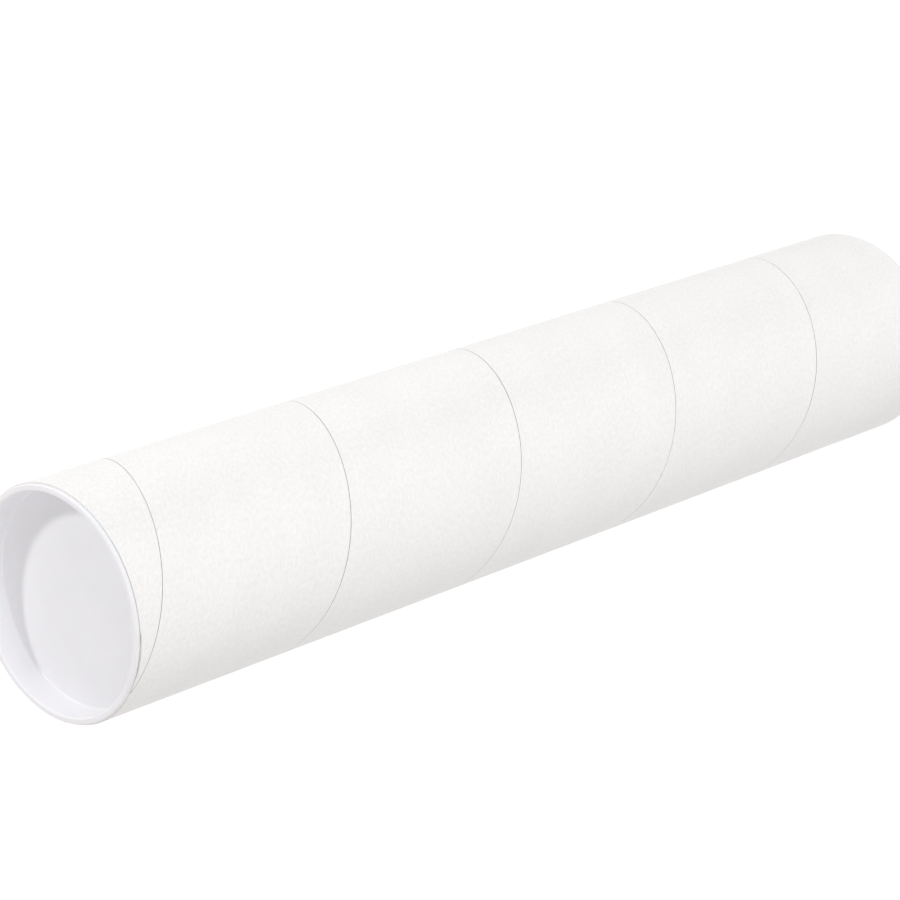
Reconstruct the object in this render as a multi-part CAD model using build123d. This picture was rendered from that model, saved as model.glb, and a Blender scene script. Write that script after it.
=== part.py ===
from build123d import *
import math
import os

# Mailing tube with two push-in end caps, standing on its bottom cap.
# Millimetres. Origin: centre of the ring that the tube stands on. +Z runs up the tube's axis.

# Tube: spiral-wound paperboard, one glued solid with square-cut ends.
tube_bore = 76.2
tube_wall = 1.52
tube_length = 406.4

# End cap: a thin flange that covers the cut end of the tube, and a cup-shaped plug in the bore.
flange_thickness = 1.5
flange_setback = 0.42  # how far the flange's edge stays inside the tube's outside
plug_clearance = 0.08  # radial gap between the plug's straight land and the bore
cap_wall = 1.0
cap_floor = 1.2
recess_depth = 9.5  # from the flange's face to the floor of the cup
land_height = 4.0  # straight length of plug below the flange
plug_taper = 0.3  # how far the wall leans in between the land and the floor

# Rounded edges of the cap.
flange_edge_round = 0.5
mouth_round = 0.6
floor_corner_round = 0.7
nose_round = 0.8

# Travel of each plug when it is drawn out of the bore.
pull_travel = 30.0

bore_radius = tube_bore / 2
tube_radius = bore_radius + tube_wall
flange_radius = tube_radius - flange_setback
land_radius = bore_radius - plug_clearance
nose_radius = land_radius - plug_taper
plug_depth = recess_depth + cap_floor - flange_thickness


def rounded(profile, corner, radius):
    """Returns the flat profile with its corner nearest to the given point rounded."""
    vertex = profile.vertices().sort_by_distance(corner)[0]
    return fillet(vertex, radius)


def make_tube():
    """Returns the tube, with its lower cut end on the plane Z = 0."""
    ring = Circle(tube_radius) - Circle(bore_radius)
    return extrude(ring, tube_length)


def make_cap():
    """Returns one cap, its flange seated on the plane Z = 0 and its plug pointing down."""
    face_level = flange_thickness
    crease_level = -land_height
    floor_level = flange_thickness - recess_depth
    nose_level = -plug_depth
    mouth_radius = land_radius - cap_wall
    corner_radius = nose_radius - cap_wall

    flange_edge = (flange_radius, face_level)
    mouth = (mouth_radius, face_level)
    floor_corner = (corner_radius, floor_level)
    nose = (nose_radius, nose_level)
    outline = Polyline(
        (0, floor_level),
        floor_corner,
        (mouth_radius, crease_level),
        mouth,
        flange_edge,
        (flange_radius, 0),
        (land_radius, 0),
        (land_radius, crease_level),
        nose,
        (0, nose_level),
        close=True,
    )
    profile = make_face(outline)
    profile = rounded(profile, flange_edge, flange_edge_round)
    profile = rounded(profile, mouth, mouth_round)
    profile = rounded(profile, floor_corner, floor_corner_round)
    profile = rounded(profile, nose, nose_round)
    return revolve(Plane.XZ * profile, Axis.Z)


lower_end = flange_thickness
upper_end = lower_end + tube_length
overall_height = upper_end + flange_thickness

cap = make_cap()
parts = {
    "tube_body": Pos(0, 0, lower_end) * make_tube(),
    "bottom_end_cap": Pos(0, 0, lower_end) * Rot(180, 0, 0) * cap,
    "top_end_cap": Pos(0, 0, upper_end) * cap,
}

os.makedirs("parts", exist_ok=True)
for node, shape in parts.items():
    export_step(shape, f"parts/{node}.step")

inner_half_side = bore_radius / math.sqrt(2)
print(f"overall height {overall_height:.2f} mm, outside diameter {2 * tube_radius:.2f} mm")
print(f"plug depth {plug_depth:.2f} mm, pulled out by {pull_travel:.1f} mm")
print(f"square that fits the bore: half side {inner_half_side:.2f} mm")
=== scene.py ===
"""White spiral-wound mailing tube with two push-in end caps, standing on its bottom cap.

Lengths are in metres, in the CAD model's frame: the origin is at the middle of the ring that the tube stands
on, and +Z runs up the tube.
"""

import logging
import math
from dataclasses import dataclass
from enum import Enum
from typing import Any, Optional, Sequence, Union

import bmesh
import bpy
import numpy as np
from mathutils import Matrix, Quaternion, Vector


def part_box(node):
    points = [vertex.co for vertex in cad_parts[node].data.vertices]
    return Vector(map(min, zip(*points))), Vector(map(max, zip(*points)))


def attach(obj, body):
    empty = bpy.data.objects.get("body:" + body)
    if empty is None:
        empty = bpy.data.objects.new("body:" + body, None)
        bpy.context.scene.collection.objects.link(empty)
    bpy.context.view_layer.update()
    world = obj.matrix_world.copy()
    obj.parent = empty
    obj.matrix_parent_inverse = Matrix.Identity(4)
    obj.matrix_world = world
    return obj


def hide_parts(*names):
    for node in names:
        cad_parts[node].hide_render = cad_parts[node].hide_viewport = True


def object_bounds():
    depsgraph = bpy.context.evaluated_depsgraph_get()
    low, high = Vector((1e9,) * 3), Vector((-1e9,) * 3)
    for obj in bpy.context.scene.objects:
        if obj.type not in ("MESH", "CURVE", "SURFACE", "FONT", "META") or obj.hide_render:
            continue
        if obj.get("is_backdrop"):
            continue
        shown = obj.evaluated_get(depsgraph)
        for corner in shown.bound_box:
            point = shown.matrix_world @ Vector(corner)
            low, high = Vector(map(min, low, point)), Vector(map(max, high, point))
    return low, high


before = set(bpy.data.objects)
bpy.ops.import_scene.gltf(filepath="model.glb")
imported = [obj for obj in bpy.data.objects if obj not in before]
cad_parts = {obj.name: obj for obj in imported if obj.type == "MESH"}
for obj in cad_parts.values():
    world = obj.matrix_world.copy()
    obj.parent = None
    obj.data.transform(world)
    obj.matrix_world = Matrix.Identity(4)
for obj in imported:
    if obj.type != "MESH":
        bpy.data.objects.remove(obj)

MM = 0.001
TURN = 2 * math.pi
FRONT = -math.pi / 2  # the side of the tube that faces the camera, as an angle about Z
COLUMNS = 500  # points once round each piece
WELD = 1e-6  # points nearer to each other than this become one
SHARP_ANGLE = math.radians(38)  # edges that turn by more than this stay crisp
PLUG_GAP = 0.08 * MM  # between a cap's plug and the bore

log = logging.getLogger("mailing_tube")

Colour = tuple[float, float, float, float]


# ==== Shader maths ====


class Wire:
    """One socket of a shader graph, with arithmetic that adds Math nodes."""

    def __init__(self, graph: "Graph", socket: Optional[bpy.types.NodeSocket]) -> None:
        """Keeps the socket and the graph that it belongs to.

        Args:
            graph: The graph that new nodes are added to.
            socket: The output socket that this wire leaves from, or None for a node that ends the graph.
        """
        self.graph = graph
        self.socket = socket

    def _math(self, operation: str, first: "Feed", second: "Feed") -> "Wire":
        """Returns the result of a two-input Math node."""
        return self.graph.add("ShaderNodeMath", {"operation": operation}, {0: first, 1: second})

    def __add__(self, other: "Feed") -> "Wire":
        """Returns this plus other."""
        return self._math("ADD", self, other)

    def __radd__(self, other: "Feed") -> "Wire":
        """Returns other plus this."""
        return self._math("ADD", other, self)

    def __sub__(self, other: "Feed") -> "Wire":
        """Returns this less other."""
        return self._math("SUBTRACT", self, other)

    def __rsub__(self, other: "Feed") -> "Wire":
        """Returns other less this."""
        return self._math("SUBTRACT", other, self)

    def __mul__(self, other: "Feed") -> "Wire":
        """Returns this times other."""
        return self._math("MULTIPLY", self, other)

    def __rmul__(self, other: "Feed") -> "Wire":
        """Returns other times this."""
        return self._math("MULTIPLY", other, self)

    def smooth(self, low: float, high: float) -> "Wire":
        """Returns 0 below low, 1 above high and a smooth step between them.

        Args:
            low: The value where the step starts.
            high: The value where the step ends.

        Returns:
            The stepped value.
        """
        settings = {"interpolation_type": "SMOOTHSTEP", "clamp": True}
        sockets = {"Value": self, "From Min": low, "From Max": high, "To Min": 0.0, "To Max": 1.0}
        return self.graph.add("ShaderNodeMapRange", settings, sockets)


Feed = Union[Wire, float, Sequence[float]]


@dataclass(frozen=True)
class Grain:
    """One size of lump in a finish, as a fractal noise.

    Attributes:
        per_metre: How many lumps a metre holds.
        octaves: How many finer sizes are added.
        harshness: The strength of the finer sizes.
        along: The factor on the first coordinate, under 1 where the lumps are long that way.
        across: The factor on the second coordinate.
        share: Its share in the mix that colours the surface.
        bump: The strength of its relief.
        depth: The depth of its relief.
    """

    per_metre: float
    octaves: float = 2.0
    harshness: float = 0.5
    along: float = 1.0
    across: float = 1.0
    share: float = 0.0
    bump: float = 0.0
    depth: float = 0.0


class Graph:
    """The node tree of one material or of the world."""

    def __init__(self, tree: bpy.types.NodeTree) -> None:
        """Empties the tree, ready for new nodes.

        Args:
            tree: The node tree to fill.
        """
        self.tree = tree
        self.tree.nodes.clear()

    @staticmethod
    def _find(sockets: Any, key: Union[str, int]) -> bpy.types.NodeSocket:
        """Finds a socket of a node.

        Args:
            sockets: The node's inputs or outputs.
            key: The socket's identifier, name or index.

        Returns:
            The socket.
        """
        if isinstance(key, int):
            return sockets[key]
        for socket in sockets:
            if socket.identifier == key:
                return socket
        return sockets[key]

    def add(
        self,
        kind: str,
        settings: Optional[dict[str, Any]] = None,
        sockets: Optional[dict[Union[str, int], Feed]] = None,
        output: Union[str, int] = 0,
    ) -> Wire:
        """Adds a node, sets it up and feeds its sockets.

        Args:
            kind: The node's type name.
            settings: The node's own properties, which are set first.
            sockets: The value or wire for each input, by identifier, name or index.
            output: The output that the returned wire leaves from.

        Returns:
            A wire from the node's output, which leads nowhere if the node has none.
        """
        node = self.tree.nodes.new(kind)
        for name, value in (settings or {}).items():
            setattr(node, name, value)
        for key, value in (sockets or {}).items():
            target = self._find(node.inputs, key)
            if isinstance(value, Wire):
                self.tree.links.new(value.socket, target)
            else:
                target.default_value = value
        return Wire(self, self._find(node.outputs, output) if len(node.outputs) else None)

    def place(self, kind: str) -> Wire:
        """Returns the coordinates of that kind, such as UV or Object."""
        return self.add("ShaderNodeTexCoord", None, None, kind)

    def sunk(self) -> Wire:
        """Returns how deep in a butt gap the surface lies, from 0 to 1, for the painted shade there."""
        return self.add("ShaderNodeAttribute", {"attribute_name": "sunk"}, None, "Fac")

    def noise(self, place: Wire, grain: Grain) -> Wire:
        """Adds a grain's noise.

        Args:
            place: The coordinates to read it at.
            grain: The size and kind of its lumps.

        Returns:
            The noise value, from 0 to 1 and mostly near 0.5.
        """
        sockets = {
            "Vector": self.stretched(place, (grain.along, grain.across, 1.0)),
            "Scale": grain.per_metre,
            "Detail": grain.octaves,
            "Roughness": grain.harshness,
        }
        return self.add("ShaderNodeTexNoise", {"noise_dimensions": "3D"}, sockets, "Fac")

    def stretched(self, place: Wire, factors: Sequence[float]) -> Wire:
        """Returns the coordinates with each axis multiplied by its factor."""
        settings = {"operation": "MULTIPLY"}
        return self.add("ShaderNodeVectorMath", settings, {0: place, 1: tuple(factors)})

    def blend(self, share: Feed, first: Feed, second: Feed) -> Wire:
        """Returns the first colour where share is 0 and the second where it is 1."""
        sockets = {"Factor_Float": share, "A_Color": first, "B_Color": second}
        return self.add("ShaderNodeMix", {"data_type": "RGBA"}, sockets, "Result_Color")

    def relief(self, layers: Sequence[tuple[Wire, Grain]]) -> Feed:
        """Lays one relief over another.

        Args:
            layers: For each layer its noise, and the grain that gives its strength and depth.

        Returns:
            The bumped normal.
        """
        sockets: dict[Union[str, int], Feed] = {}
        for height, grain in layers:
            sockets |= {"Height": height, "Strength": grain.bump, "Distance": grain.depth}
            sockets["Normal"] = self.add("ShaderNodeBump", None, sockets)
        return sockets["Normal"]


def grey(level: float) -> Colour:
    """Returns a neutral colour of that linear level."""
    return (level, level, level, 1.0)


# ==== Finishes ====


@dataclass(frozen=True)
class Finish:
    """A surface finish that is made once as a material.

    In each finish a Grain is one size of lump in its noise. A range holds two values, of a noise or of the
    depth in a butt gap: where a colour starts to change, and where it has changed. A roughness_spread is how
    much a noise adds to the roughness.
    """

    name: str

    def surface(self, graph: Graph) -> dict[str, Feed]:
        """Returns what feeds the Principled BSDF's sockets, by socket name."""
        raise NotImplementedError

    def make(self) -> bpy.types.Material:
        """Makes the material.

        Returns:
            The new material, with its nodes.
        """
        material = bpy.data.materials.new(self.name)
        material.use_nodes = True
        graph = Graph(material.node_tree)
        shader = graph.add("ShaderNodeBsdfPrincipled", None, self.surface(graph), "BSDF")
        graph.add("ShaderNodeOutputMaterial", None, {"Surface": shader})
        return material


@dataclass(frozen=True)
class WhiteLiner(Finish):
    """The smooth white outer ply: matt coated paper, with a mottle of fibres that run along the ply.

    The mesh's UV map runs along the ply (u) and across it (v), in metres.
    """

    name: str = "white_liner_paper"
    light: Colour = (0.935, 0.926, 0.907, 1.0)
    dull: Colour = (0.862, 0.852, 0.833, 1.0)
    # painted shade: the grey that the paper darkens to deep in the butt gap, where shade falls
    painted_gap_shade: Colour = (0.48, 0.45, 0.43, 1.0)
    roughness: float = 0.52
    roughness_spread: float = 0.16
    cloud: Grain = Grain(60.0, along=0.6, share=0.15, bump=0.25, depth=0.12 * MM)
    speck: Grain = Grain(850.0, harshness=0.6, along=0.7, share=0.50, bump=0.30, depth=0.03 * MM)
    fibre: Grain = Grain(2200.0, harshness=0.65, along=0.35, share=0.35, bump=0.35, depth=0.01 * MM)
    mottle_range: tuple[float, float] = (0.36, 0.64)
    gap_range: tuple[float, float] = (0.12, 0.35)

    def surface(self, graph: Graph) -> dict[str, Feed]:
        """Mixes two whites by the three sizes of lump, and paints shade on the paper inside the butt gap.

        Args:
            graph: The material's graph.

        Returns:
            What feeds the shader, by socket name.
        """
        place = graph.place("UV")
        cloud = graph.noise(place, self.cloud)
        speck = graph.noise(place, self.speck)
        fibre = graph.noise(place, self.fibre)
        mottle = cloud * self.cloud.share + speck * self.speck.share + fibre * self.fibre.share
        paper = graph.blend(mottle.smooth(*self.mottle_range), self.dull, self.light)
        return {
            # painted shade: the paper darkens with its depth in the butt gap
            "Base Color": graph.blend(graph.sunk().smooth(*self.gap_range), paper, self.painted_gap_shade),
            "Roughness": self.roughness + (mottle - 0.5) * self.roughness_spread,
            "Normal": graph.relief([(cloud, self.cloud), (speck, self.speck), (fibre, self.fibre)]),
            "IOR": 1.45,
            "Specular IOR Level": 0.42,
        }


@dataclass(frozen=True)
class CutBoard(Finish):
    """The square-cut end of the wall: grey-brown plies between dark glue lines, with a white ply outside.

    The plies' edges wander by the waviness. A glue line starts to fade and is gone at glue_edges from its
    middle, and the step from the white ply to the board is twice liner_blur wide.
    """

    name: str = "cut_board_edge"
    board: Colour = (0.40, 0.36, 0.315, 1.0)
    pale_board: Colour = (0.52, 0.475, 0.42, 1.0)
    glue: Colour = (0.27, 0.235, 0.20, 1.0)
    liner: Colour = (0.86, 0.85, 0.83, 1.0)
    outside_radius: float = 39.62 * MM
    liner_thickness: float = 0.45 * MM
    ply_thickness: float = 0.40 * MM
    waviness: float = 0.08 * MM
    glue_edges: tuple[float, float] = (0.03 * MM, 0.09 * MM)
    liner_blur: float = 0.04 * MM
    fibre: Grain = Grain(2600.0, octaves=3.0, harshness=0.7, bump=0.8, depth=0.06 * MM)
    lump: Grain = Grain(500.0, bump=0.5, depth=0.1 * MM)
    fibre_range: tuple[float, float] = (0.3, 0.7)

    def surface(self, graph: Graph) -> dict[str, Feed]:
        """Colours the cut by its depth under the tube's outside, which tells which ply it belongs to.

        Args:
            graph: The material's graph.

        Returns:
            What feeds the shader, by socket name.
        """
        place = graph.place("Object")
        flat = graph.stretched(place, (1.0, 1.0, 0.0))
        radius = graph.add("ShaderNodeVectorMath", {"operation": "LENGTH"}, {0: flat}, "Value")
        fibre = graph.noise(place, self.fibre)
        lump = graph.noise(place, self.lump)
        depth = self.outside_radius - radius + (lump - 0.5) * self.waviness
        folded = {0: depth, 1: self.ply_thickness / 2}
        from_glue = graph.add("ShaderNodeMath", {"operation": "PINGPONG"}, folded)
        board = graph.blend(fibre.smooth(*self.fibre_range), self.board, self.pale_board)
        plies = graph.blend(from_glue.smooth(*self.glue_edges), self.glue, board)
        under = depth.smooth(self.liner_thickness - self.liner_blur, self.liner_thickness + self.liner_blur)
        return {
            "Base Color": graph.blend(under, self.liner, plies),
            "Roughness": 0.93,
            "Normal": graph.relief([(lump, self.lump), (fibre, self.fibre)]),
            "Specular IOR Level": 0.25,
        }


@dataclass(frozen=True)
class BoreBoard(Finish):
    """The unbleached inner ply that lines the bore, with its own butt gap and flecks of darker fibre."""

    name: str = "bore_board"
    board: Colour = (0.46, 0.36, 0.255, 1.0)
    pale_board: Colour = (0.56, 0.45, 0.33, 1.0)
    fleck: Colour = (0.27, 0.20, 0.14, 1.0)
    # painted shade: the dark brown that the board darkens to deep in the butt gap
    painted_gap_shade: Colour = (0.20, 0.15, 0.11, 1.0)
    roughness: float = 0.82
    roughness_spread: float = 0.10
    grain: Grain = Grain(900.0, 3.0, harshness=0.65, along=0.25, share=0.65, bump=0.6, depth=0.04 * MM)
    cloud: Grain = Grain(60.0, share=0.35, bump=0.3, depth=0.2 * MM)
    spots: Grain = Grain(1300.0, octaves=1.0, along=0.4)
    tone_range: tuple[float, float] = (0.36, 0.64)
    fleck_range: tuple[float, float] = (0.68, 0.76)
    fleck_share: float = 0.7
    gap_range: tuple[float, float] = (0.15, 0.70)

    def surface(self, graph: Graph) -> dict[str, Feed]:
        """Mixes two browns by fibres that run along the ply, then adds the flecks and paints shade in the
        butt gap.

        Args:
            graph: The material's graph.

        Returns:
            What feeds the shader, by socket name.
        """
        place = graph.place("UV")
        grain = graph.noise(place, self.grain)
        cloud = graph.noise(place, self.cloud)
        spots = graph.noise(place, self.spots)
        tone = grain * self.grain.share + cloud * self.cloud.share
        board = graph.blend(tone.smooth(*self.tone_range), self.board, self.pale_board)
        flecked = graph.blend(spots.smooth(*self.fleck_range) * self.fleck_share, board, self.fleck)
        return {
            # painted shade: the board darkens with its depth in the butt gap
            "Base Color": graph.blend(graph.sunk().smooth(*self.gap_range), flecked, self.painted_gap_shade),
            "Roughness": self.roughness + grain * self.roughness_spread,
            "Normal": graph.relief([(cloud, self.cloud), (grain, self.grain)]),
            "Specular IOR Level": 0.3,
        }


@dataclass(frozen=True)
class MouldedPlastic(Finish):
    """The caps' white polyethylene: a soft satin skin with a faint moulded grain and light rubbed marks."""

    name: str = "moulded_white_plastic"
    light: Colour = (0.885, 0.876, 0.893, 1.0)
    dull: Colour = (0.865, 0.856, 0.874, 1.0)
    roughness: float = 0.44
    roughness_spread: float = 0.10
    cloud: Grain = Grain(38.0, octaves=3.0, harshness=0.55, bump=0.22, depth=0.4 * MM)
    grain: Grain = Grain(2400.0, harshness=0.6, bump=0.35, depth=0.012 * MM)
    rubbed: Grain = Grain(160.0, octaves=3.0, harshness=0.7, across=6.0)
    cloud_range: tuple[float, float] = (0.35, 0.65)
    mark_range: tuple[float, float] = (0.58, 0.72)

    def surface(self, graph: Graph) -> dict[str, Feed]:
        """Clouds the white a little, and roughens it by the grain and by the rubbed marks.

        Args:
            graph: The material's graph.

        Returns:
            What feeds the shader, by socket name.
        """
        place = graph.place("Object")
        cloud = graph.noise(place, self.cloud)
        grain = graph.noise(place, self.grain)
        marks = graph.noise(place, self.rubbed).smooth(*self.mark_range)
        return {
            "Base Color": graph.blend(cloud.smooth(*self.cloud_range), self.dull, self.light),
            "Roughness": self.roughness + (grain + marks) * self.roughness_spread,
            "Normal": graph.relief([(cloud, self.cloud), (grain, self.grain)]),
            "IOR": 1.5,
            "Specular IOR Level": 0.5,
            "Subsurface Weight": 0.12,
            "Subsurface Scale": 2 * MM,
        }


# ==== Skins: grids of points that are stitched into pieces ====


@dataclass
class Skin:
    """One grid surface of a piece.

    Attributes:
        points: The corners, one row of three numbers each.
        faces: Four corner numbers for each face, anticlockwise from outside.
        uv: For each face the two surface coordinates of its four corners.
        sunk: For each point how deep it lies in a butt gap, from 0 to 1, which sets the painted shade there.
        finish: The number of the finish in the piece's list.
    """

    points: np.ndarray
    faces: np.ndarray
    uv: np.ndarray
    sunk: np.ndarray
    finish: int


def grid_faces(rows: int, columns: int) -> np.ndarray:
    """Returns the corner numbers of a grid's faces, columns closed round and rows open.

    Face (row, column) joins point (row, column) to (row, column + 1), (row + 1, column + 1) and
    (row + 1, column), where the column after the last is the first.

    Args:
        rows: The number of rows of points.
        columns: The number of points in a row.

    Returns:
        An array of (rows - 1) * columns faces of four corners.
    """
    row, column = np.meshgrid(np.arange(rows - 1), np.arange(columns), indexing="ij")
    after = (column + 1) % columns
    start, above = row * columns, (row + 1) * columns
    return np.stack([start + column, start + after, above + after, above + column], axis=-1).reshape(-1, 4)


def column_angles() -> np.ndarray:
    """Returns the angle of each column of points, from the front once round."""
    return FRONT + TURN * np.arange(COLUMNS) / COLUMNS


def ring_skin(radii: np.ndarray, heights: np.ndarray, finish: int) -> Skin:
    """Makes a surface through closed rings about the Z axis.

    A point of ring i at angle a is (r cos a, r sin a, z), with r and z from the two arrays. Its surface
    coordinates are the arc length at that radius and the length along the profile.

    Args:
        radii: The radius of each ring, or of each of its points.
        heights: The height of each ring, or of each of its points.
        finish: The number of the finish.

    Returns:
        The surface, which faces up where the rings run inwards and down where they run outwards.
    """
    angles = column_angles()
    shape = (len(radii), COLUMNS)
    radii = np.broadcast_to(radii.reshape(len(radii), -1), shape)
    heights = np.broadcast_to(heights.reshape(len(heights), -1), shape)
    points = np.stack([radii * np.cos(angles), radii * np.sin(angles), heights], axis=-1)
    faces = grid_faces(*shape)
    step = np.hypot(np.diff(radii.mean(1)), np.diff(heights.mean(1)))
    along = np.concatenate([[0.0], np.cumsum(step)])
    row, column = np.meshgrid(np.arange(len(radii) - 1), np.arange(COLUMNS), indexing="ij")
    around = TURN * radii.mean()
    u = np.stack([column, column + 1, column + 1, column], -1) / COLUMNS * around
    v = np.stack([along[row], along[row], along[row + 1], along[row + 1]], -1)
    uv = np.stack([u, v], -1).reshape(-1, 4, 2)
    return Skin(points.reshape(-1, 3), faces, uv, np.zeros(points.size // 3), finish)


def stitched(name: str, skins: Sequence[Skin], finishes: Sequence[bpy.types.Material]) -> bpy.types.Object:
    """Joins skins into one closed piece, welding the points that they share.

    Args:
        name: The piece's name.
        skins: The skins, which meet at shared points.
        finishes: The materials that the skins number.

    Returns:
        The new object, at the origin.
    """
    starts = np.cumsum([0] + [len(skin.points) for skin in skins[:-1]])
    points = np.concatenate([skin.points for skin in skins])
    faces = np.concatenate([skin.faces + start for skin, start in zip(skins, starts)])
    uv = np.concatenate([skin.uv for skin in skins])
    finish = np.concatenate([np.full(len(skin.faces), skin.finish) for skin in skins])
    sunk = np.concatenate([skin.sunk for skin in skins])

    mesh = bpy.data.meshes.new(name)
    mesh.from_pydata(points, [], faces)
    mesh.uv_layers.new(name="ply").data.foreach_set("uv", uv.astype(np.float32).ravel())
    mesh.polygons.foreach_set("material_index", finish.astype(np.int32))
    mesh.attributes.new("sunk", "FLOAT", "POINT").data.foreach_set("value", sunk.astype(np.float32))
    for material in finishes:
        mesh.materials.append(material)

    work = bmesh.new()
    work.from_mesh(mesh)
    bmesh.ops.remove_doubles(work, verts=work.verts, dist=WELD)
    bmesh.ops.dissolve_degenerate(work, dist=WELD / 10, edges=work.edges)
    open_edges = sum(1 for edge in work.edges if not edge.is_manifold)
    work.to_mesh(mesh)
    work.free()
    mesh.polygons.foreach_set("use_smooth", np.ones(len(mesh.polygons), dtype=bool))
    mesh.set_sharp_from_angle(angle=SHARP_ANGLE)
    mesh.update()

    piece = bpy.data.objects.new(name, mesh)
    bpy.context.scene.collection.objects.link(piece)
    triangles = sum(len(face.vertices) - 2 for face in mesh.polygons)
    log.info("%s: %d triangles, %d open edges", name, triangles, open_edges)
    return piece


@dataclass(frozen=True)
class Role:
    """What a piece stands for.

    Attributes:
        body: The body that it rides on.
        node: The CAD node that it replaces.
        slot: The material slot that it stands for; not used.
    """

    body: str
    node: str
    slot: str

    def give(self, piece: bpy.types.Object) -> None:
        """Puts a piece in its role.

        Args:
            piece: The piece.
        """
        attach(piece, self.body)
        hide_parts(self.node)


# ==== The wound tube ====


class Facing(Enum):
    """Which way a wound skin faces: out from the axis, or in towards it."""

    OUT = 1
    IN = -1


@dataclass(frozen=True)
class Winding:
    """The helix of one ply's butt gap, where the ply's two edges meet turn after turn.

    Attributes:
        pitch: How far the gap climbs in one turn.
        front_height: The height of one crossing of the front.
        gap: The width of the gap along the tube.
        depth: The depth of the gap.
        slope: How far its walls lean in.
        shoulder: The width of the paper beside it that is pressed down.
        press: How deep that paper is pressed at the gap.
        unevenness: How much the gap's width wanders, as a share of it.
        waves: The waves of that wander, each with its share, its number in a turn and its start.
        reaches: How far from the gap's middle the rows stand that lie beyond its shoulders.
    """

    pitch: float
    front_height: float
    gap: float
    depth: float
    slope: float = 0.02 * MM
    shoulder: float = 0.30 * MM
    press: float = 0.025 * MM
    unevenness: float = 0.22
    waves: tuple[tuple[float, float, float], ...] = ((0.6, 1.7, 0.4), (0.4, 4.3, 2.1))
    reaches: tuple[float, ...] = (1.2 * MM, 4.0 * MM, 12.0 * MM, 24.0 * MM)

    def edge_height(self, angle: np.ndarray) -> np.ndarray:
        """Returns the gap's height: the front height, less one pitch for each turn from the front."""
        return self.front_height - self.pitch * (angle - FRONT) / TURN

    def half_gap(self, unwound: np.ndarray) -> np.ndarray:
        """Returns half the gap's width, which wanders in slow waves along the helix."""
        wander = sum(share * np.sin(rate * unwound + start) for share, rate, start in self.waves)
        return self.gap / 2 * (1 + self.unevenness * wander)

    def drop(self, height: np.ndarray, angle: np.ndarray) -> np.ndarray:
        """Returns how far the surface lies below the ply at a place.

        It is the full depth inside the gap and less on the gap's leaning walls. On the shoulder beside it, it
        is the press times the square of the share of the shoulder that is left.

        Args:
            height: The heights of the places.
            angle: Their angles about Z.

        Returns:
            The drop at each place.
        """
        rise = height - self.edge_height(angle)
        crossing = np.round(rise / self.pitch)
        away = np.abs(rise - crossing * self.pitch)
        half = self.half_gap(angle - TURN * crossing)
        inside = np.clip((half - away) / self.slope, 0.0, 1.0)
        beside = np.clip(1 - (away - half) / self.shoulder, 0.0, 1.0)
        return np.maximum(self.depth * inside, self.press * beside**2)

    def offsets(self, half: np.ndarray) -> list[np.ndarray]:
        """Returns how far the rows beside a gap stand from its middle, from the foot of its wall on."""
        near = [half - self.slope, half, half + self.shoulder / 3, half + self.shoulder]
        return near + [np.full_like(half, reach) for reach in self.reaches]

    def rows(self, angle: np.ndarray, low: float, high: float) -> tuple[np.ndarray, int, int]:
        """Lays rows of points along the helix, close together at the gap and wide apart between.

        A strip is one turn of ply. Its rows stand at set distances above its own gap and below the next one,
        so that they follow the gaps' walls, and one more row runs along the strip's middle.

        Args:
            angle: The columns' angles.
            low: The lowest height to cover.
            high: The highest height to cover.

        Returns:
            The rows' heights, the number of rows in a strip and the number of the lowest strip.
        """
        first = math.floor((low - self.front_height) / self.pitch)
        last = math.ceil((high - self.front_height) / self.pitch)
        heights = []
        for strip in range(first, last + 1):
            base = self.edge_height(angle) + self.pitch * strip
            half = self.half_gap(angle - TURN * strip)
            next_half = self.half_gap(angle - TURN * (strip + 1))
            heights.append(base)
            heights += [base + offset for offset in self.offsets(half)]
            heights.append(base + self.pitch / 2)
            heights += [base + self.pitch - offset for offset in reversed(self.offsets(next_half))]
        per_strip = len(heights) // (last + 1 - first)
        return np.array(heights), per_strip, first


@dataclass(frozen=True)
class PlyTip:
    """The pointed end of the outer ply at the top cut, which stops a little short of the cut.

    Attributes:
        start: The angle where the ply's edge begins to fall short.
        end: The angle where it meets the cut again, just before the point.
        shortfall: How far it falls short.
        steepness: How quickly it falls short, where more gives a longer flat stretch.
        ease: How softly it starts and ends.
    """

    start: float = math.radians(-112.5)
    end: float = math.radians(-141.0)
    shortfall: float = 0.36 * MM
    steepness: float = 3.2
    ease: float = 1.5

    def recess(self, angle: np.ndarray) -> np.ndarray:
        """Works out how far the ply's edge stops below the cut.

        With s the share of the way from end to start, it is the shortfall times steepness * sin(pi s)^ease,
        which is cut off at 1.

        Args:
            angle: The angles of the places.

        Returns:
            The distance at each angle.
        """
        turned = (angle - self.end) % TURN
        share = np.clip(turned / ((self.start - self.end) % TURN), 0.0, 1.0)
        return self.shortfall * np.clip(self.steepness * np.sin(math.pi * share) ** self.ease, 0.0, 1.0)


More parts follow.
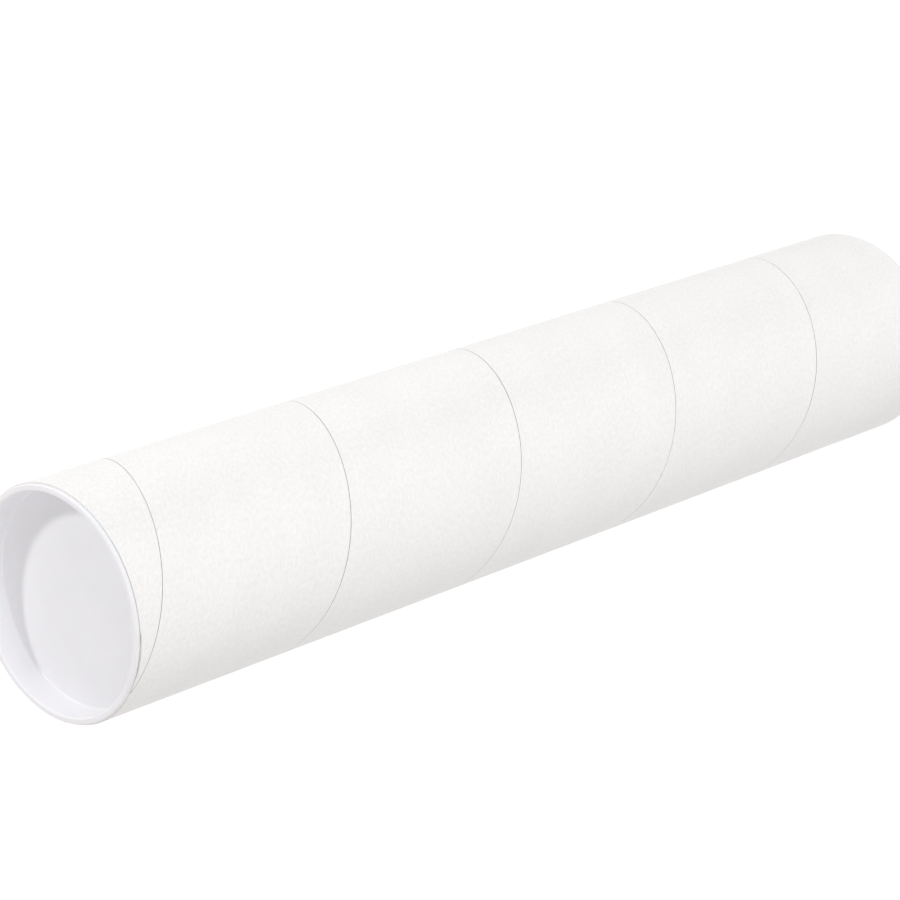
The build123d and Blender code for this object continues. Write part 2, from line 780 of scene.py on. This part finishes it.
@dataclass
class WoundTube:
    """The tube: a white outer ply, the cut ends of the wall, and the bore's inner ply.

    Attributes:
        low: The height of the bottom cut.
        high: The height of the top cut.
        outside: The outside radius.
        wall: The thickness of the wall.
        liner: The thickness of the white outer ply.
        pitch: How far the butt gaps climb in one turn.
        front_drop: How far below the top cut the outer gap crosses the front.
        outer_gap: The width of the outer gap.
        outer_gap_depth: Its depth.
        inner_gap: The width of the gap in the bore.
        inner_gap_depth: Its depth.
        inner_lag: How far below the outer gap the one in the bore runs, as a share of the pitch.
        rim: The distance from the bore to the cut's last ring but one.
        cut_rings: The number of rings on the cut between the outer ply and the bore.
        tip: The outer ply's pointed end at the top.
    """

    low: float
    high: float
    outside: float
    wall: float = 1.52 * MM
    liner: float = 0.45 * MM
    pitch: float = 81.77 * MM
    front_drop: float = 13.05 * MM
    outer_gap: float = 0.27 * MM
    outer_gap_depth: float = 0.24 * MM
    inner_gap: float = 0.50 * MM
    inner_gap_depth: float = 0.30 * MM
    inner_lag: float = 1 / 3
    rim: float = 0.35 * MM
    cut_rings: int = 3
    tip: PlyTip = PlyTip()

    @property
    def outer_ply(self) -> Winding:
        """The outer ply's winding, whose gap crosses the front a short way below the top cut."""
        return Winding(self.pitch, self.high - self.front_drop, self.outer_gap, self.outer_gap_depth)

    @property
    def inner_ply(self) -> Winding:
        """The inner ply's winding: the same pitch, part of a turn further on."""
        front_height = self.high - self.front_drop - self.pitch * self.inner_lag
        return Winding(self.pitch, front_height, self.inner_gap, self.inner_gap_depth)

    def wound_skin(
        self, winding: Winding, radius: float, facing: Facing, top: np.ndarray, finish: int
    ) -> Skin:
        """Makes a cylinder whose rows follow a butt gap.

        The helical rows are cut off at the two ends by clamping their heights. Every radius is worked out at
        the clamped place, so that points which fall together there are the same point. One turn on, a row
        has become the row one strip lower, so the last column joins the first with that shift.

        Args:
            winding: The helix.
            radius: The cylinder's radius.
            facing: Out for the outside, in for the bore.
            top: The highest height allowed in each column.
            finish: The number of the finish.

        Returns:
            The surface.
        """
        angle = column_angles()
        heights, per_strip, first = winding.rows(angle, self.low, self.high)
        heights = np.clip(heights, self.low, top)
        drop = winding.drop(heights, angle)
        radii = radius - facing.value * drop
        points = np.stack([radii * np.cos(angle), radii * np.sin(angle), heights], -1).reshape(-1, 3)

        row, column = np.meshgrid(np.arange(len(heights) - 1), np.arange(COLUMNS), indexing="ij")
        wraps = column == COLUMNS - 1
        after = np.where(wraps, 0, column + 1)
        start = row * COLUMNS
        start_after = (row - np.where(wraps, per_strip, 0)) * COLUMNS + after
        corners = [start + column, start_after, start_after + COLUMNS, start + COLUMNS + column]
        faces = np.stack(corners, -1).reshape(-1, 4)

        turned = np.concatenate([angle, [FRONT + TURN]])
        around = np.stack([column, column + 1, column + 1, column], -1)
        face_strip = (first + row // per_strip)[..., None]
        face_heights = points[np.maximum(faces, 0), 2]
        u = radius * (turned[around] - FRONT - TURN * face_strip).reshape(-1, 4)
        v = face_heights - winding.edge_height(turned[around]).reshape(-1, 4)
        # faces that would reach below the first row are left out, and those that a cut has made flat
        kept = (faces.min(1) >= 0) & (np.ptp(face_heights, axis=1) > 0)
        faces, uv = faces[kept], np.stack([u, v], -1)[kept]
        if facing is Facing.IN:
            faces, uv = faces[:, ::-1], uv[:, ::-1]
        # how deep each point lies in the gap, which the finishes use to paint shade there
        sunk = np.clip(drop / winding.depth, 0.0, 1.0).ravel()
        return Skin(points, faces, uv, sunk, finish)

    def cut_skin(self, cut: float, outer_edge: np.ndarray, facing_up: bool, finish: int) -> Skin:
        """Makes the cut end of the wall as rings from the outer ply's edge to the bore.

        Args:
            cut: The height of the cut.
            outer_edge: The height of the outer ply's edge in each column.
            facing_up: Whether it is the top cut.
            finish: The number of the finish.

        Returns:
            The surface.
        """
        angle = column_angles()
        level = np.full(COLUMNS, cut)
        bore = self.outside - self.wall
        outer = self.outside - self.outer_ply.drop(outer_edge, angle)
        inner = bore + self.inner_ply.drop(level, angle)
        rings = np.linspace(self.outside - self.liner, bore + self.rim, self.cut_rings + 1)
        step, *middle = [np.full(COLUMNS, radius) for radius in rings]
        radii = np.array([outer, step, step, *middle, inner])
        heights = np.array([outer_edge, outer_edge] + [level] * (len(radii) - 2))
        skin = ring_skin(radii, heights, finish)
        if not facing_up:
            skin.faces, skin.uv = skin.faces[:, ::-1], skin.uv[:, ::-1]
        return skin

    def build(self, role: Role) -> None:
        """Makes the tube's mesh, dresses it and puts it in place of its CAD node.

        Args:
            role: What the tube stands for.
        """
        angle = column_angles()
        top = self.high - self.tip.recess(angle)
        level_top = np.full(COLUMNS, self.high)
        bottom = np.full(COLUMNS, self.low)
        skins = [
            self.wound_skin(self.outer_ply, self.outside, Facing.OUT, top, finish=0),
            self.cut_skin(self.high, top, facing_up=True, finish=1),
            self.cut_skin(self.low, bottom, facing_up=False, finish=1),
            self.wound_skin(self.inner_ply, self.outside - self.wall, Facing.IN, level_top, finish=2),
        ]
        cut_board = CutBoard(outside_radius=self.outside, liner_thickness=self.liner)
        finishes = [WhiteLiner().make(), cut_board.make(), BoreBoard().make()]
        role.give(stitched("wound_tube", skins, finishes))


# ==== The end caps ====


@dataclass(frozen=True)
class Corner:
    """A corner of a cap's section: its radius from the axis, its height and its rounding."""

    radius: float
    height: float
    rounding: float = 0.0

    @property
    def place(self) -> np.ndarray:
        """The corner as a point of radius and height."""
        return np.array([self.radius, self.height])


def rounded_section(
    corners: Sequence[Corner], arc_points: int = 13, longest: float = 3.0 * MM
) -> np.ndarray:
    """Runs a line through corners, with an arc at each rounded one.

    An arc starts and ends at rounding * tan(turn / 2) from its corner and has its centre on the line that
    halves the corner. Long straight stretches get points no further apart than the longest step.

    Args:
        corners: The corners in order. The first and last are ends of the line.
        arc_points: The number of points on each arc.
        longest: The longest straight step.

    Returns:
        The section's points, one row of radius and height each.
    """
    line = [corners[0].place[None]]
    for before, corner, after in zip(corners, corners[1:], corners[2:]):
        here = corner.place
        if corner.rounding == 0.0:
            line.append(here[None])
            continue
        back, ahead = before.place - here, after.place - here
        back, ahead = back / np.linalg.norm(back), ahead / np.linalg.norm(ahead)
        half_turn = math.acos(float(np.clip(-back @ ahead, -1.0, 1.0))) / 2
        middle = (back + ahead) / np.linalg.norm(back + ahead)
        centre = here + middle * corner.rounding / math.cos(half_turn)
        sweep = np.linspace(-half_turn, half_turn, arc_points)[:, None]
        side = (ahead - back) / np.linalg.norm(ahead - back)
        line.append(centre + corner.rounding * (np.sin(sweep) * side - np.cos(sweep) * middle))
    line.append(corners[-1].place[None])
    points = np.concatenate(line)
    steps = np.linalg.norm(np.diff(points, axis=0), axis=1)
    counts = np.maximum(1, np.ceil(steps / longest).astype(int))
    filled = [
        start + (end - start) * np.linspace(0, 1, count, endpoint=False)[:, None]
        for start, end, count in zip(points, points[1:], counts)
    ]
    return np.concatenate(filled + [points[-1:]])


@dataclass
class PushInCap:
    """A cap: a flange on the tube's cut end and a shallow cup that plugs the bore.

    Heights run up from the cut end, with the plug pointing down, as on the top cap.

    Attributes:
        flange_radius: The flange's radius.
        flange_thickness: The flange's thickness.
        depth: The depth of the plug below the flange.
        land_radius: The radius of the plug's straight part, the land.
        wall: The thickness of the plug's wall.
        floor: The thickness of the cup's floor.
        land: The length of the land below the flange.
        taper: How far the wall leans in between the land and the floor.
        dish: How far the floor's middle dips.
        face_round: The rounding of the flange's outer edge.
        seat_round: The rounding of the flange's edge at the cut end.
        mouth_round: The rounding of the cup's mouth.
        crease_round: The rounding inside the cup where the wall starts to lean.
        shoulder_round: The rounding outside the plug where the wall starts to lean.
        corner_round: The rounding where the cup's wall meets its floor.
        nose_round: The rounding of the plug's lower edge.
    """

    flange_radius: float
    flange_thickness: float
    depth: float
    land_radius: float
    wall: float = 1.0 * MM
    floor: float = 1.2 * MM
    land: float = 4.0 * MM
    taper: float = 0.3 * MM
    dish: float = 0.12 * MM
    face_round: float = 0.5 * MM
    seat_round: float = 0.18 * MM
    mouth_round: float = 0.6 * MM
    crease_round: float = 0.2 * MM
    shoulder_round: float = 0.6 * MM
    corner_round: float = 0.7 * MM
    nose_round: float = 0.8 * MM

    def section(self) -> np.ndarray:
        """Runs round the cap's section: from the floor's middle, over the flange and back under the floor.

        The floor and its underside dip towards the middle, at radius r by dish * (1 - (r / edge)^2).

        Returns:
            The section's points, one row of radius and height each.
        """
        mouth = self.land_radius - self.wall
        nose = self.land_radius - self.taper
        floor_level = self.floor - self.depth
        corners = [
            Corner(0.0, floor_level),
            Corner(nose - self.wall, floor_level, self.corner_round),
            Corner(mouth, -self.land, self.crease_round),
            Corner(mouth, self.flange_thickness, self.mouth_round),
            Corner(self.flange_radius, self.flange_thickness, self.face_round),
            Corner(self.flange_radius, 0.0, self.seat_round),
            Corner(self.land_radius, 0.0),
            Corner(self.land_radius, -self.land, self.shoulder_round),
            Corner(nose, -self.depth, self.nose_round),
            Corner(0.0, -self.depth),
        ]
        points = rounded_section(corners)
        edge = nose - self.wall - self.corner_round
        flat = (points[:, 1] <= floor_level + WELD) & (points[:, 0] < edge)
        points[flat, 1] -= self.dish * (1 - (points[flat, 0] / edge) ** 2)
        return points

    def build(self, name: str, seat: float, upright: bool, role: Role, finish: bpy.types.Material) -> None:
        """Makes one cap on its end of the tube.

        Args:
            name: The piece's name.
            seat: The height of the cut end that the flange sits on.
            upright: True for the top cap, False for the bottom one, which is turned over.
            role: What the cap stands for.
            finish: The plastic.
        """
        section = self.section()
        direction = 1.0 if upright else -1.0
        skin = ring_skin(section[::-1, 0], seat + direction * section[::-1, 1], finish=0)
        if not upright:
            skin.faces, skin.uv = skin.faces[:, ::-1], skin.uv[:, ::-1]
        role.give(stitched(name, [skin], [finish]))


# ==== The studio ====


@dataclass(frozen=True)
class Lamp:
    """A round soft lamp that is aimed at the object.

    Attributes:
        name: Its name.
        azimuth: Its direction from the object, in degrees about Z from +X.
        elevation: Its height above the horizon, in degrees.
        distance: How far it stands off.
        width: Its diameter.
        level: How bright it makes a white card that faces it, where 1 is white.
        colour: The colour of its light.
    """

    name: str
    azimuth: float
    elevation: float
    distance: float
    width: float
    level: float
    colour: tuple[float, float, float] = (1.0, 1.0, 1.0)

    def place(self, target: Vector) -> None:
        """Makes the lamp. Its power is level * (pi * distance)^2 watts.

        Args:
            target: The point that it is aimed at.
        """
        turn, rise = math.radians(self.azimuth), math.radians(self.elevation)
        towards = Vector((math.cos(turn) * math.cos(rise), math.sin(turn) * math.cos(rise), math.sin(rise)))
        data = bpy.data.lights.new(self.name, "AREA")
        data.shape = "DISK"
        data.size = self.width
        data.energy = self.level * (math.pi * self.distance) ** 2
        data.color = self.colour
        lamp = bpy.data.objects.new(self.name, data)
        lamp.location = target + towards * self.distance
        lamp.rotation_euler = towards.to_track_quat("Z", "Y").to_euler()
        bpy.context.scene.collection.objects.link(lamp)


@dataclass(frozen=True)
class Viewpoint:
    """The camera, which looks down on the standing tube and is rolled so that the tube lies across its view.

    Attributes:
        stand_off: The camera's distance in front of the tube's axis.
        rise: Its height above the top cap.
        aim_side: How far to the +X side of the axis it aims.
        aim_share: How far up the tube it aims, as a share of the tube's height.
        roll: The turn about its line of sight, in degrees.
        lens: The focal length in millimetres.
        clip: The nearest and the furthest distance that it sees.
    """

    stand_off: float = 0.8618
    rise: float = 0.6256
    aim_side: float = 0.0062
    aim_share: float = 0.5526
    roll: float = -108.75
    lens: float = 134.61
    clip: tuple[float, float] = (0.01, 50.0)

    def place(self, top: float) -> None:
        """Makes the camera and hands it to the scene.

        Args:
            top: The height of the object's top.
        """
        spot = Vector((0.0, -self.stand_off, top + self.rise))
        aim = Vector((self.aim_side, 0.0, self.aim_share * top))
        data = bpy.data.cameras.new("camera")
        data.lens = self.lens
        data.clip_start, data.clip_end = self.clip
        camera = bpy.data.objects.new("camera", data)
        camera.location = spot
        unrolled = (aim - spot).to_track_quat("-Z", "Y")
        camera.rotation_mode = "QUATERNION"
        camera.rotation_quaternion = unrolled @ Quaternion((0.0, 0.0, 1.0), math.radians(self.roll))
        bpy.context.scene.collection.objects.link(camera)
        bpy.context.scene.camera = camera


@dataclass(frozen=True)
class Studio:
    """A white floor, a white surround and soft lamps.

    Attributes:
        floor_half_width: Half the floor's side.
        floor_white: The floor's white, as it lights the object.
        floor_seen_white: How much of the floor's look is plain glow, where the rest takes the shadow.
        floor_glow: The strength of that glow.
        surround: The surround's level, where 1 is white.
        surround_tint: The colour of its light.
        dark_side: The direction in which it is darkest.
        dark_side_loss: How much darker it is there.
        aim_share: How far up the object the lamps are aimed, as a share of its height.
        lamps: The lamps.
    """

    floor_half_width: float = 12.0
    floor_white: float = 0.80
    floor_seen_white: float = 0.72
    floor_glow: float = 1.12
    surround: float = 0.93
    surround_tint: Colour = (1.0, 0.982, 0.988, 1.0)
    dark_side: tuple[float, float, float] = (0.768, 0.366, 0.526)
    dark_side_loss: float = 0.66
    aim_share: float = 0.6
    lamps: tuple[Lamp, ...] = (
        Lamp("key_lamp", 25.5, 39.5, distance=1.8, width=0.20, level=0.36),
        Lamp("front_lamp", -68.0, 14.0, distance=1.8, width=0.9, level=0.31, colour=(0.94, 0.97, 1.0)),
    )

    @staticmethod
    def seen_directly(graph: Graph) -> Wire:
        """Tells what is seen from what only lights the object.

        Args:
            graph: The graph of the floor or the surround.

        Returns:
            1 for what is seen straight, in a gloss or through glass, and 0 for light on the object.
        """
        seen: Optional[Wire] = None
        for ray in ("Is Camera Ray", "Is Glossy Ray", "Is Transmission Ray"):
            wire = graph.add("ShaderNodeLightPath", None, None, ray)
            seen = wire if seen is None else seen + wire
        assert seen is not None
        return graph.add("ShaderNodeMath", {"operation": "MINIMUM"}, {0: seen, 1: 1.0})

    def floor_finish(self) -> bpy.types.Material:
        """Makes the floor's paper: plain white as a light, near white with a soft shadow where it is seen.

        Returns:
            The new material.
        """
        material = bpy.data.materials.new("studio_floor")
        material.use_nodes = True
        graph = Graph(material.node_tree)
        plain = graph.add("ShaderNodeBsdfDiffuse", None, {"Color": grey(self.floor_white)})
        shadowed = graph.add("ShaderNodeBsdfDiffuse", None, {"Color": grey(1.0)})
        glow = graph.add("ShaderNodeEmission", None, {"Color": grey(1.0), "Strength": self.floor_glow})
        shown = graph.add("ShaderNodeMixShader", None, {0: self.floor_seen_white, 1: shadowed, 2: glow})
        mixed = graph.add("ShaderNodeMixShader", None, {0: self.seen_directly(graph), 1: plain, 2: shown})
        graph.add("ShaderNodeOutputMaterial", None, {"Surface": mixed})
        return material

    def lay_floor(self) -> None:
        """Makes the floor, a square at the height where the tube stands."""
        half = self.floor_half_width
        mesh = bpy.data.meshes.new("studio_floor")
        corners = [(-half, -half, 0), (half, -half, 0), (half, half, 0), (-half, half, 0)]
        mesh.from_pydata(corners, [], [(0, 1, 2, 3)])
        mesh.materials.append(self.floor_finish())
        floor = bpy.data.objects.new("studio_floor", mesh)
        bpy.context.scene.collection.objects.link(floor)
        floor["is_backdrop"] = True

    def hang_surround(self) -> None:
        """Lights the scene softly from all sides, and shows plain white where the surround is seen.

        The surround is darker behind the key lamp: its level falls by the loss times the cosine of the angle
        between a direction and the dark side.
        """
        world = bpy.data.worlds.new("surround")
        world.use_nodes = True
        graph = Graph(world.node_tree)
        sockets = {0: graph.place("Generated"), 1: self.dark_side}
        cosine = graph.add("ShaderNodeVectorMath", {"operation": "DOT_PRODUCT"}, sockets, "Value")
        shaded = graph.add("ShaderNodeMath", {"operation": "MAXIMUM"}, {0: cosine, 1: 0.0})
        level = self.surround - shaded * self.dark_side_loss
        seen = self.seen_directly(graph)
        strength = level + seen * (1.0 - level)
        colour = graph.blend(seen, self.surround_tint, grey(1.0))
        glow = graph.add("ShaderNodeBackground", None, {"Color": colour, "Strength": strength})
        graph.add("ShaderNodeOutputWorld", None, {"Surface": glow})
        bpy.context.scene.world = world

    def build(self, top: float) -> None:
        """Makes the floor, the surround and the lamps.

        Args:
            top: The height of the object's top.
        """
        self.lay_floor()
        self.hang_surround()
        for lamp in self.lamps:
            lamp.place(Vector((0.0, 0.0, self.aim_share * top)))
        bpy.context.scene.view_settings.view_transform = "Standard"


# ==== Assembly ====


def main() -> None:
    """Builds the tube and its caps in place of the CAD nodes, then the studio."""
    logging.basicConfig(level=logging.INFO, format="%(name)s: %(message)s")
    cad_low, cad_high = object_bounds()

    tube_low, tube_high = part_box("tube_body")
    cap_low, cap_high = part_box("top_end_cap")
    outside = tube_high.x
    tube = WoundTube(low=tube_low.z, high=tube_high.z, outside=outside)
    tube.build(Role("tube", "tube_body", "white_paperboard"))

    plastic = MouldedPlastic().make()
    cap = PushInCap(
        flange_radius=cap_high.x,
        flange_thickness=cap_high.z - tube_high.z,
        depth=tube_high.z - cap_low.z,
        land_radius=outside - tube.wall - PLUG_GAP,
    )
    top = Role("top_cap", "top_end_cap", "white_plastic")
    bottom = Role("bottom_cap", "bottom_end_cap", "white_plastic")
    cap.build("top_cap_moulding", tube_high.z, True, top, plastic)
    cap.build("bottom_cap_moulding", tube_low.z, False, bottom, plastic)

    Studio().build(cad_high.z)
    Viewpoint().place(cad_high.z)


if __name__ == "__main__":
    main()
